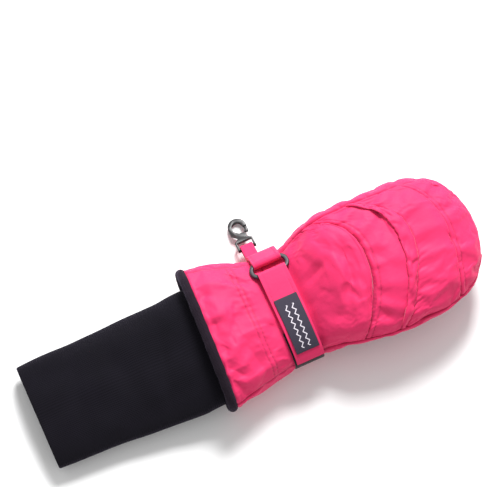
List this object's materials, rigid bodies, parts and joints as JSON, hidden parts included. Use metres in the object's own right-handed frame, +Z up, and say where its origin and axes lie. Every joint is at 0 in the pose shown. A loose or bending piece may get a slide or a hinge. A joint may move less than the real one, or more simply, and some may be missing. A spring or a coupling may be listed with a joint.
{
  "type": "ski mitten",
  "caption": "Padded child's ski mitten for the right hand, with a long knitted cuff, a wrist strap through a ring and a clip on a keeper loop, lying palm down.",
  "frame": {"origin": "below the middle of the mitten, on the surface it lies on", "axes": "+X towards the fingertips, +Y towards the thumb's side, +Z up, away from the palm"},
  "size_m": [0.32, 0.1262, 0.0558],
  "materials": {
    "shell": "coated woven nylon, soft satin",
    "grip": "pebbled coated fabric, matt",
    "knit": "fine stretch knit with a brushed nap",
    "binding": "folded knit binding",
    "tape": "hook and loop tape",
    "label": "fine woven damask",
    "plastic": "moulded, satin",
    "batting": "polyester fibre fill",
    "insert": "waterproof film",
    "lining": "brushed fleece",
    "elastic": "braided elastic"
  },
  "bodies": {
    "hand": {"gauntlet_back": "shell", "gauntlet_palm": "shell", "hand_back": "shell", "knuckle_panel": "shell", "knuckle_pleat": "shell", "finger_panel": "shell", "tip_panel": "shell", "palm_heel": "shell", "side_little_finger": "shell", "side_first_finger": "shell", "palm_tip": "shell", "palm_grip": "grip", "batting_back": "batting", "batting_palm": "batting", "waterproof_insert": "insert", "lining": "lining", "gauntlet_facing": "lining", "wrist_elastic": "elastic", "hem_binding": "binding", "cuff_root": "knit", "strap_base": "shell", "loop_tape": "tape", "ring_anchor": "shell", "keeper_loop": "shell"},
    "thumb": {"thumb_inner_panel": "shell", "thumb_outer_panel": "shell", "thumb_batting": "batting", "thumb_lining": "lining"},
    "cuff": {"cuff_sleeve": "knit"},
    "ring": {"strap_ring": "plastic"},
    "tab": {"strap_tab": "shell", "hook_tape": "tape", "woven_label": "label"},
    "clip": {"clip_body": "plastic"},
    "gate": {"clip_gate": "plastic"}
  },
  "joints": [
    {"name": "thumb_swing", "type": "hinge", "parent": "hand", "child": "thumb", "pos_m": [0.039, 0.00921, 0.009], "axis": [0, 0, 1], "range_deg": [0, 40]},
    {"name": "cuff_bend", "type": "hinge", "parent": "hand", "child": "cuff", "pos_m": [-0.036, -0.01429, 0.023], "axis": [0, 1, 0], "range_deg": [0, 40]},
    {"name": "ring_turn", "type": "hinge", "parent": "hand", "child": "ring", "pos_m": [0.022, 0.01965, 0.03388], "axis": [-1, 0, 0], "range_deg": [0, 55]},
    {"name": "tab_peel", "type": "hinge", "parent": "ring", "child": "tab", "pos_m": [0.022, 0.01019, 0.03769], "axis": [-1, 0, 0], "range_deg": [0, 120]},
    {"name": "clip_swing", "type": "hinge", "parent": "hand", "child": "clip", "pos_m": [0.017, 0.03971, 0.0074], "axis": [1, 0, 0], "range_deg": [0, 80]},
    {"name": "gate_open", "type": "hinge", "parent": "clip", "child": "gate", "pos_m": [0.0219, 0.05144, 0.00443], "axis": [0, 0.2453, 0.9694], "range_deg": [0, 22], "stiffness_Nm_per_rad": 0.0005}
  ]
}
